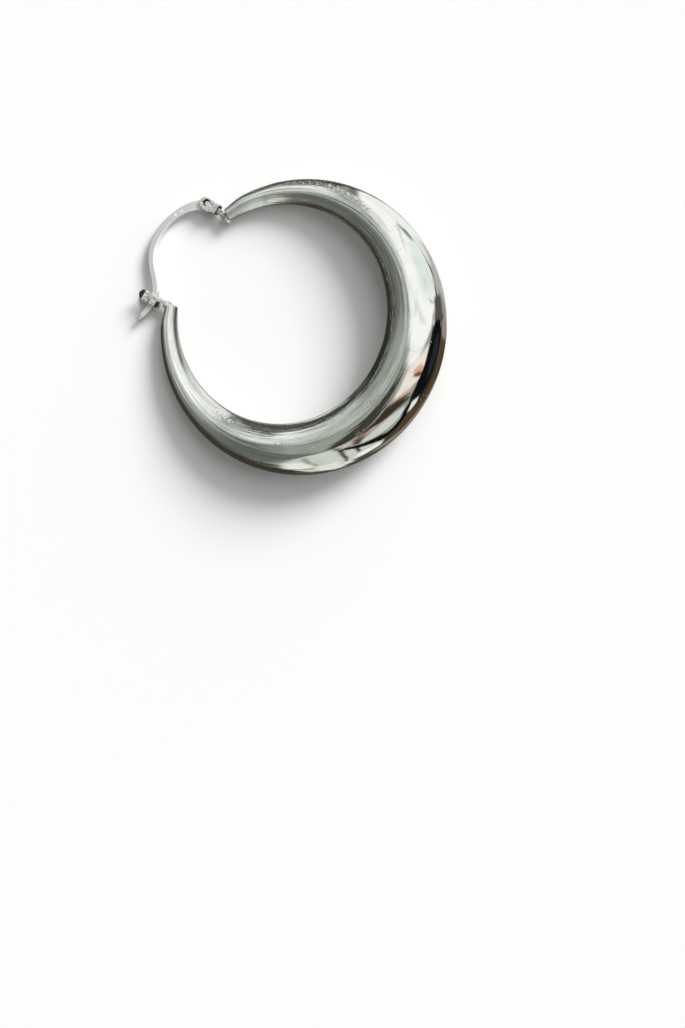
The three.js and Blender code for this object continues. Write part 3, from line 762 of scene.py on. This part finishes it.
# Shapes of light and dark for the metal to mirror, in order: colour, softness of the edge, and outline, all in
# degrees from straight up on a flat map whose x is the picture's right and y its up. Two numbers are a ring.
SKY_BASE = (150, 155, 147)
SKY = (
    ((76, 72, 63), 9, (126, 181)),
    ((206, 206, 202), 14, ((19.5, 169.8), (58.4, 192.0), (125.2, 169.8), (175.3, 97.4), (180.9, 36.2), (153.1, 30.6), (136.4, 69.6), (114.1, 103.0), (86.3, 136.4))),
    ((62, 57, 48), 7, (93, 126)),
    ((103, 107, 99), 12, ((-43.3, 12.4), (-44.4, 7.6), (-44.9, 2.6), (-44.9, -2.4), (-44.4, -7.3), (-43.3, -12.2), (-41.7, -16.9), (-39.6, -21.4), (-37.0, -25.6), (-34.0, -29.5), (-30.5, -33.1), (-26.7, -36.3), (-22.5, -39.0), (-44.0, -76.2), (-52.1, -70.9), (-59.6, -64.7), (-66.4, -57.7), (-72.4, -50.1), (-77.5, -41.8), (-81.6, -33.0), (-84.7, -23.8), (-86.8, -14.3), (-87.9, -4.6), (-87.9, 5.1), (-86.8, 14.8), (-84.6, 24.3))),
    ((226, 226, 222), 9, ((86.2, 58.2), (79.4, 67.2), (71.6, 75.4), (63.0, 82.8), (53.6, 89.1), (43.5, 94.4), (33.0, 98.6), (22.1, 101.6), (10.9, 103.4), (14.6, 139.2), (29.7, 136.8), (44.4, 132.8), (58.6, 127.1), (72.1, 120.0), (84.7, 111.4), (96.4, 101.6), (106.9, 90.5), (116.1, 78.3))),
    ((176, 176, 170), 7, ((99.0, 24.7), (95.4, 36.0), (90.6, 46.8), (84.6, 57.0), (101.1, 68.2), (108.4, 56.0), (114.1, 43.1), (118.4, 29.5))),
    ((120, 117, 110), 7, ((122.8, 17.3), (120.1, 31.0), (115.8, 44.4), (110.0, 57.3), (102.8, 69.3), (124.4, 83.9), (133.1, 69.3), (140.0, 53.8), (145.2, 37.6), (148.5, 20.9))),
    ((62, 58, 49), 7, ((97.8, -66.0), (104.8, -54.2), (110.4, -41.6), (114.5, -28.5), (117.0, -15.1), (118.0, -1.4), (117.4, 12.3), (167.1, 17.6), (168.0, -2.0), (166.6, -21.4), (163.0, -40.6), (157.2, -59.3), (149.2, -77.1), (139.3, -93.9))),
    ((230, 231, 224), 6, ((-8.0, -65.5), (1.7, -66.0), (11.5, -65.0), (22.6, -128.0), (3.4, -130.0), (-15.8, -129.0))),
    ((112, 117, 109), 5, ((-74.0, 47.3), (-67.9, 52.9), (-69.6, 30.6), (-68.5, 8.3), (-61.2, -19.5), (-55.7, -39.0), (-62.3, -39.0), (-70.7, -13.9), (-75.1, 13.9))),
    ((138, 137, 130), 10, ((-153.1, 80.7), (-119.7, 119.7), (-69.6, 147.5), (-19.5, 161.4), (2.8, 158.6), (2.8, 141.9), (-36.2, 136.4), (-69.6, 122.4), (-97.4, 103.0), (-119.7, 80.7), (-141.9, 61.2))),
    ((74, 74, 68), 9, ((-9.2, 87.5), (-18.3, 86.1), (-27.2, 83.7), (-35.8, 80.4), (-44.0, 76.2), (-51.7, 71.2), (-58.9, 65.4), (-65.4, 58.9), (-71.2, 51.7), (-76.2, 44.0), (-107.4, 62.0), (-100.3, 72.9), (-92.1, 83.0), (-83.0, 92.1), (-72.9, 100.3), (-62.0, 107.4), (-50.4, 113.3), (-38.3, 117.9), (-25.8, 121.3), (-13.0, 123.3))),
    ((58, 59, 51), 9, ((-42.5, 73.6), (-50.1, 68.7), (-57.1, 62.9), (-63.5, 56.5), (-69.2, 49.4), (-74.0, 41.8), (-78.0, 33.7), (-81.2, 25.2), (-83.4, 16.4), (-84.7, 7.4), (-85.0, -1.6), (-84.3, -10.7), (-82.7, -19.6), (-80.2, -28.3), (-76.7, -36.7), (-72.3, -44.6), (-67.2, -52.1), (-61.3, -58.9), (-54.6, -65.1), (-74.6, -88.9), (-83.6, -80.4), (-91.7, -71.1), (-98.7, -60.9), (-104.7, -50.0), (-109.4, -38.6), (-112.9, -26.8), (-115.1, -14.6), (-116.0, -2.2), (-115.6, 10.1), (-113.8, 22.4), (-110.8, 34.3), (-106.5, 45.9), (-101.0, 57.0), (-94.4, 67.5), (-86.7, 77.1), (-78.0, 85.9), (-68.4, 93.7), (-58.0, 100.5))),
    ((46, 45, 37), 8, ((-97.0, 56.0), (-102.6, 45.0), (-106.9, 33.5), (-109.9, 21.5), (-111.6, 9.3), (-112.0, -3.0), (-111.0, -15.3), (-108.6, -27.4), (-104.9, -39.2), (-100.0, -50.4), (-93.8, -61.1), (-86.6, -71.1), (-78.2, -80.1), (-69.0, -88.3), (-87.4, -111.9), (-99.2, -101.6), (-109.8, -90.1), (-119.0, -77.5), (-126.8, -64.0), (-133.0, -49.6), (-137.7, -34.7), (-140.7, -19.4), (-141.9, -3.8), (-141.5, 11.8), (-139.4, 27.3), (-135.5, 42.4), (-130.0, 57.1), (-123.0, 71.0))),
    ((236, 236, 232), 6, ((-73.0, 112.4), (-84.3, 104.1), (-94.8, 94.8), (-104.1, 84.3), (-121.2, 98.2), (-110.3, 110.3), (-98.2, 121.2), (-85.0, 130.8))),
    ((92, 96, 90), 7, ((-51.2, -2.8), (-41.7, 5.6), (-31.7, -2.8), (-30.6, -25.0), (-36.2, -41.7), (-47.3, -39.0), (-52.9, -22.3))),
    ((98, 102, 95), 6, ((-34.6, -9.9), (-33.3, -13.6), (-31.6, -17.2), (-29.6, -20.5), (-27.2, -23.6), (-24.4, -26.4), (-21.4, -28.9), (-18.1, -31.1), (-14.6, -32.9), (-21.2, -47.5), (-26.2, -44.9), (-30.9, -41.8), (-35.3, -38.2), (-39.2, -34.1), (-42.7, -29.6), (-45.7, -24.8), (-48.1, -19.7), (-50.0, -14.3))),
    ((86, 86, 80), 7, ((-35.1, 105.8), (-22.3, 114.1), (-10.6, 105.8), (-11.7, 83.5), (-13.9, 67.9), (-22.3, 63.5), (-30.6, 67.9), (-35.1, 89.1))),
    ((166, 170, 163), 6, ((-13.9, 69.6), (-8.3, 80.7), (-1.4, 97.4), (2.8, 116.9), (8.3, 111.3), (5.6, 86.3), (-4.2, 64.0), (-9.5, 49.5), (-13.9, 52.9))),
    ((188, 195, 187), 7, ((-13.2, 27.0), (-16.2, 25.2), (-19.1, 23.1), (-21.7, 20.7), (-24.0, 18.1), (-68.7, 51.8), (-62.1, 59.5), (-54.7, 66.4), (-46.5, 72.3), (-37.7, 77.3))),
    ((238, 242, 236), 6, ((-45.1, 47.3), (-40.6, 56.8), (-30.6, 61.2), (-20.6, 60.7), (-16.1, 55.1), (-16.7, 43.4), (-23.9, 30.6), (-35.1, 33.4), (-42.9, 40.6))),
    ((190, 196, 189), 6, ((-14.3, 22.9), (-17.0, 21.0), (-19.4, 18.8), (-21.6, 16.2), (-23.4, 13.5), (-24.9, 10.5), (-38.7, 16.4), (-36.4, 21.0), (-33.5, 25.3), (-30.2, 29.2), (-26.4, 32.6), (-22.3, 35.6))),
    ((246, 248, 244), 5, ((-44.3, 62.9), (-37.0, 61.5), (-32.6, 60.6), (-26.1, 54.0), (-18.1, 57.1), (-16.1, 59.3), (-15.1, 63.1), (-19.7, 67.0), (-22.4, 65.7), (-28.1, 70.8), (-37.6, 69.8), (-44.8, 66.2))),
    ((100, 102, 96), 4, ((-13.7, 64.6), (-20.4, 62.8), (-26.8, 60.3), (-32.5, 73.1), (-24.7, 76.1), (-16.6, 78.3))),
    ((60, 55, 47), 8, ((-119.7, -25.0), (-103.0, -13.9), (-89.1, -41.7), (-69.6, -66.8), (-41.7, -80.7), (-30.6, -105.8), (-41.7, -128.0), (-75.1, -119.7), (-103.0, -86.3), (-119.7, -52.9))),
    ((250, 250, 248), 4, ((-13.9, 12.5), (-10.6, 30.6), (-5.6, 47.3), (2.8, 69.6), (11.1, 97.4), (20.9, 136.4), (52.9, 169.8), (97.4, 136.4), (83.5, 108.5), (69.6, 86.3), (86.3, 61.2), (89.1, 30.6), (69.6, 13.9), (59.8, 5.6), (41.7, -2.8), (29.2, -6.1), (13.9, -3.3), (7.0, 2.8), (0.6, 8.3))),
    ((240, 242, 240), 8, ((13.9, 89.1), (25.0, 147.5), (58.4, 175.3), (108.5, 147.5), (91.8, 111.3), (69.6, 89.1), (41.7, 69.6))),
    ((112, 115, 109), 5, ((8.9, 117.3), (3.4, 98.3), (-0.1, 84.6), (-2.1, 73.0), (2.1, 71.7), (7.4, 82.4), (11.0, 96.5), (13.3, 116.4))),
    ((218, 221, 215), 4, ((-13.9, 12.5), (-9.5, 30.6), (0.0, 52.9), (4.5, 49.5), (-2.8, 30.6), (-5.6, 13.9))),
    ((228, 239, 231), 14, ((25.0, 39.0), (41.7, 61.2), (58.4, 72.4), (75.1, 66.8), (87.9, 59.6), (89.6, 44.5), (82.4, 30.6), (64.0, 24.5), (41.7, 22.8), (27.8, 27.3))),
    ((205, 207, 202), 3, ((15.5, 35.9), (32.2, 60.1), (46.8, 79.6), (45.6, 80.7), (29.0, 62.4), (14.6, 36.5))),
    ((214, 217, 211), 3, ((2.5, 21.8), (19.0, 12.3), (41.7, 10.0), (41.8, 11.1), (20.0, 15.5), (3.0, 22.8))),
    ((66, 80, 62), 3, ((52.6, 79.6), (67.9, 71.9), (81.2, 62.4), (90.2, 52.7), (95.3, 47.2), (97.8, 48.5), (95.7, 57.5), (83.5, 65.6), (69.0, 73.9), (53.1, 80.7))),
    ((140, 152, 136), 5, ((39.0, 75.1), (55.7, 80.1), (61.2, 72.4), (52.9, 66.2), (41.7, 66.8))),
    ((182, 182, 176), 9, ((97.4, 119.7), (125.2, 103.0), (150.3, 69.6), (155.8, 30.6), (128.0, 25.0), (108.5, 41.7), (97.4, 69.6))),
    ((150, 141, 132), 8, ((111.3, 47.3), (141.9, 47.3), (155.8, 25.0), (155.8, -2.8), (122.4, -2.8), (108.5, 25.0))),
    ((170, 173, 166), 5, ((66.8, 13.9), (86.3, 27.8), (108.5, 30.6), (114.1, 13.9), (105.8, 2.8), (86.3, 1.4), (69.6, 5.6))),
    ((70, 72, 62), 3.4, ((76.8, 16.7), (91.8, 19.5), (114.1, 23.9), (128.0, 22.3), (119.7, 13.9), (97.4, 12.2), (79.6, 11.7))),
    ((150, 152, 146), 1.4, ((55.7, 23.9), (80.7, 25.6), (97.4, 27.3), (97.4, 26.2), (80.7, 24.2), (55.7, 22.5))),
    ((240, 241, 234), 3, ((69.6, 10.3), (86.3, 11.1), (105.8, 10.6), (86.3, 5.6), (71.2, 5.0))),
    ((84, 84, 75), 5, ((82.5, 8.7), (80.9, 18.7), (78.0, 28.4), (114.6, 41.7), (118.9, 27.4), (121.3, 12.8))),
    ((204, 209, 200), 5, ((-19.5, -39.0), (-8.3, -39.0), (-0.6, -43.1), (13.9, -59.8), (41.7, -79.3), (51.5, -91.8), (52.9, -105.8), (27.8, -114.1), (2.8, -119.7), (-22.3, -125.2), (-30.6, -105.8), (-36.7, -86.3), (-30.6, -64.0), (-25.0, -47.3))),
    ((244, 243, 236), 4, ((25.0, -94.6), (41.7, -91.8), (53.4, -97.4), (51.5, -107.1), (33.4, -109.9), (22.3, -104.4))),
    ((236, 238, 230), 6, ((-30.6, -69.6), (-19.5, -64.0), (-12.5, -80.7), (-13.9, -97.4), (-25.0, -105.8), (-31.7, -91.8))),
    ((74, 72, 62), 4, ((-37.6, -97.4), (-27.8, -94.1), (-13.9, -98.8), (-13.9, -104.4), (-27.8, -101.6), (-36.2, -104.4))),
    ((226, 229, 221), 6, ((-8.6, -91.8), (-11.4, -105.8), (-10.8, -122.1), (-11.1, -142.5), (5.5, -143.6), (8.1, -122.8), (8.6, -105.8), (5.8, -91.8))),
    ((150, 153, 144), 2, ((-20.6, -47.3), (-17.8, -47.3), (-13.9, -69.6), (-8.3, -89.1), (-11.7, -89.6), (-17.3, -69.6))),
    ((58, 55, 48), 1.8, ((-8.9, -39.0), (-6.1, -39.0), (1.7, -52.9), (15.0, -89.6), (17.3, -108.5), (14.5, -108.5), (11.7, -90.2), (-1.1, -54.0))),
    ((58, 55, 48), 1.8, ((11.1, -59.8), (14.5, -59.8), (26.4, -86.8), (23.9, -87.9))),
    ((84, 66, 48), 7, ((108.5, -2.8), (153.1, -2.8), (155.8, -58.4), (114.1, -86.3), (86.3, -108.5), (64.0, -105.8), (66.8, -83.5), (86.3, -58.4), (105.8, -39.0))),
    ((47, 42, 34), 6, ((77.2, -60.3), (83.1, -51.9), (88.1, -43.0), (92.1, -33.5), (95.1, -23.7), (118.4, -29.5), (114.6, -41.7), (109.7, -53.5), (103.5, -64.7), (96.1, -75.1))),
    ((140, 130, 118), 9, ((47.3, -114.1), (86.3, -111.3), (125.2, -86.3), (147.5, -64.0), (153.1, -97.4), (97.4, -141.9), (58.4, -141.9), (41.7, -128.0))),
    ((238, 231, 219), 4, ((13.9, -4.5), (39.0, -4.5), (64.0, -2.8), (64.0, -25.0), (41.7, -25.0), (19.5, -21.7), (11.7, -13.9))),
    ((60, 58, 52), 3, ((5.3, 5.6), (1.8, 0.6), (-1.9, -4.4), (-6.0, -9.9), (-9.7, -17.0), (-12.8, -25.1), (-13.8, -32.6), (-9.6, -36.4), (-0.6, -32.8), (4.7, -23.0), (6.5, -14.6), (7.5, -7.9), (7.6, -1.2), (7.5, 5.0))),
    ((80, 66, 56), 2.5, ((1.7, -27.8), (8.3, -27.3), (11.1, -41.7), (13.9, -56.2), (8.9, -54.0), (2.8, -41.7))),
    ((222, 196, 178), 2, ((-6.9, -39.8), (-2.6, -42.0), (2.7, -45.7), (3.9, -44.5), (-0.2, -38.2), (-6.5, -38.1))),
    ((58, 49, 42), 2.2, ((4.3, -31.9), (17.3, -37.0), (32.2, -37.4), (52.0, -38.9), (52.6, -36.8), (34.6, -28.3), (21.7, -22.0), (9.1, -18.2))),
    ((216, 172, 148), 1.8, ((31.5, -11.9), (43.9, -16.3), (57.8, -20.5), (68.2, -22.5), (68.7, -20.9), (59.1, -16.3), (45.2, -11.5), (31.9, -10.3))),
    ((96, 68, 54), 1.6, ((34.9, -15.0), (46.8, -20.0), (60.8, -24.2), (69.4, -25.6), (69.7, -24.5), (61.6, -21.5), (47.8, -16.8), (35.2, -13.9))),
    ((214, 176, 150), 1.6, ((13.8, -19.5), (27.4, -24.4), (43.1, -28.3), (49.9, -30.6), (50.3, -29.5), (43.8, -26.2), (28.3, -21.2), (14.1, -18.4))),
    ((92, 64, 48), 1.4, ((13.8, -22.2), (27.5, -26.7), (49.9, -33.4), (50.3, -32.3), (28.2, -24.5), (14.1, -21.2))),
    ((206, 160, 134), 1.6, ((2.7, -39.5), (13.9, -41.7), (25.1, -39.5), (25.0, -38.4), (13.9, -38.4), (2.8, -38.4))),
    ((206, 210, 203), 2.4, ((14.0, -56.1), (26.5, -64.5), (44.5, -64.6), (54.7, -58.4), (53.3, -46.2), (44.5, -42.3), (29.2, -40.2), (16.1, -44.1))),
    ((14, 14, 15), 2.2, ((69.6, 7.8), (86.3, 12.8), (105.8, 13.9), (114.7, -2.8), (109.6, -23.9), (97.4, -43.4), (85.2, -55.1), (69.6, -61.8), (59.6, -50.1), (55.1, -39.0), (55.9, -27.8), (60.1, -18.9), (64.3, -1.7))),
    ((13, 12, 13), 1.3, ((55.4, -49.5), (59.0, -62.9), (54.8, -73.6), (49.0, -73.8), (39.9, -69.8), (29.2, -66.4), (19.4, -62.9), (10.0, -55.8), (1.7, -48.9), (-0.6, -51.3), (6.7, -59.5), (15.7, -68.4), (25.3, -74.4), (34.1, -80.5), (46.8, -89.3), (65.4, -83.4), (71.2, -62.9), (64.9, -46.3))),
    ((36, 41, 47), 9, ((86.3, -1.7), (103.0, 2.8), (106.9, -13.9), (94.6, -34.0), (83.5, -37.3), (80.7, -19.5))),
    ((235, 234, 226), 2.2, ((66.8, -49.5), (83.5, -53.4), (84.0, -60.7), (76.8, -64.6), (69.6, -64.0))),
)


# ---- surroundings: a pale floor, one soft key light, and broad light and dark shapes for the metal to mirror
def only_for(obj, camera=False, diffuse=False, glossy=False, shadow=False):
    obj.visible_camera = camera
    obj.visible_diffuse = diffuse
    obj.visible_glossy = glossy
    obj.visible_transmission = False
    obj.visible_volume_scatter = False
    obj.visible_shadow = shadow
    return obj


def plain(name, colour):
    n = Nodes(name)
    n.shader.inputs["Base Color"].default_value = (*colour, 1.0)
    n.shader.inputs["Roughness"].default_value = 1.0
    n.shader.inputs["Specular IOR Level"].default_value = 0.0
    return n.material


def disc(name, rings, sides, centre, z, skip=0):
    """A flat disc, or a ring of it, made of rings of quads."""
    a = 2 * np.pi * np.arange(sides) / sides
    points = [(centre[0] + r * math.cos(t), centre[1] + r * math.sin(t), z) for r in rings for t in a]
    faces = []
    for i in range(len(rings) - 1):
        for j in range(sides):
            k = (j + 1) % sides
            faces.append((i * sides + j, (i + 1) * sides + j, (i + 1) * sides + k, i * sides + k))
    return mesh_object(name, points, faces)


floor = disc("floor", (0.0001, 0.05, 0.2, 0.8, 3.0), 64, (0, 0), -0.00003)
floor.data.materials.append(plain("floor_white", (0.9, 0.9, 0.9)))
only_for(floor, camera=True, diffuse=True, shadow=True)

RIGHT = np.array((0.529325, -0.848419, 0.0))  # the picture's right and up, on the floor
UP = np.array((0.848419, 0.529325, 0.0))


def sky():
    """A far dome, mirrored by the metal and seen by nothing else, painted with the shapes above."""
    polar = np.concatenate((np.linspace(0.02, 128, 184), np.linspace(130, 179.98, 30)))
    sides = 440
    round_ = np.radians(360 * np.arange(sides) / sides)
    pol, az = np.meshgrid(polar, round_, indexing="ij")
    pol, az = pol.ravel(), az.ravel()
    x, y = pol * np.cos(az), pol * np.sin(az)
    colour = np.tile(linear(SKY_BASE), (len(pol), 1))
    for paint, soft, shape in SKY:
        if len(shape) == 2 and not isinstance(shape[0], tuple):
            d = np.maximum(shape[0] - pol, pol - shape[1])
        else:
            d = outline_distance(x, y, shape)
        share = ease(0.5 - d / soft)[:, None]
        colour = colour * (1 - share) + linear(paint) * share
    p = np.radians(pol)
    direction = (np.sin(p) * np.cos(az))[:, None] * RIGHT + (np.sin(p) * np.sin(az))[:, None] * UP
    direction[:, 2] = np.cos(p)
    n = sides
    i, j = np.meshgrid(np.arange(len(polar) - 1), np.arange(n), indexing="ij")
    i, j = i.ravel(), j.ravel()
    k = (j + 1) % n
    faces = np.stack((i * n + j, i * n + k, (i + 1) * n + k, (i + 1) * n + j), -1)
    dome = mesh_object("sky", direction * 2.0 + np.array((0, 0, 0.004)), faces.tolist())
    attribute = dome.data.attributes.new("light", "FLOAT_COLOR", "POINT")
    attribute.data.foreach_set("color", np.hstack((colour, np.ones((len(colour), 1)))).astype(np.float32).ravel())
    material = bpy.data.materials.new("sky_light")
    material.use_nodes = True
    tree = material.node_tree
    tree.nodes.clear()
    out = tree.nodes.new("ShaderNodeOutputMaterial")
    glow = tree.nodes.new("ShaderNodeEmission")
    source = tree.nodes.new("ShaderNodeAttribute")
    source.attribute_name = "light"
    tree.links.new(source.outputs["Color"], glow.inputs["Color"])
    tree.links.new(glow.outputs["Emission"], out.inputs["Surface"])
    material.cycles.emission_sampling = "NONE"
    dome.data.materials.append(material)
    return only_for(dome, glossy=True)


sky()


def soft_light(name, energy, angle, right, up, tilt):
    """A broad light from one side: its strength, how wide it looks, and where it stands, in degrees."""
    data = bpy.data.lights.new(name, "SUN")
    data.energy = energy
    data.angle = math.radians(angle)
    light = bpy.data.objects.new(name, data)
    bpy.context.collection.objects.link(light)
    to_light = (right * RIGHT + up * UP) / math.hypot(right, up) * math.sin(math.radians(tilt))
    to_light[2] = math.cos(math.radians(tilt))
    light.rotation_euler = Vector(to_light).to_track_quat("Z", "Y").to_euler()
    light.visible_glossy = False


soft_light("key", 3.5, 24, 1.1, 1.0, 61)
soft_light("broad_key", 2.15, 80, 1.1, 1.0, 59)

world = bpy.data.worlds.new("soft_light")
scene.world = world
world.use_nodes = True
tree = world.node_tree
tree.nodes.clear()
out = tree.nodes.new("ShaderNodeOutputWorld")
seen = tree.nodes.new("ShaderNodeBackground")
seen.inputs["Color"].default_value = (0.97, 0.97, 0.97, 1)
ambient = tree.nodes.new("ShaderNodeBackground")
ambient.inputs["Color"].default_value = (0.2, 0.2, 0.2, 1)
path = tree.nodes.new("ShaderNodeLightPath")
choose = tree.nodes.new("ShaderNodeMixShader")
tree.links.new(path.outputs["Is Camera Ray"], choose.inputs["Fac"])
tree.links.new(ambient.outputs["Background"], choose.inputs[1])
tree.links.new(seen.outputs["Background"], choose.inputs[2])
tree.links.new(choose.outputs["Shader"], out.inputs["Surface"])
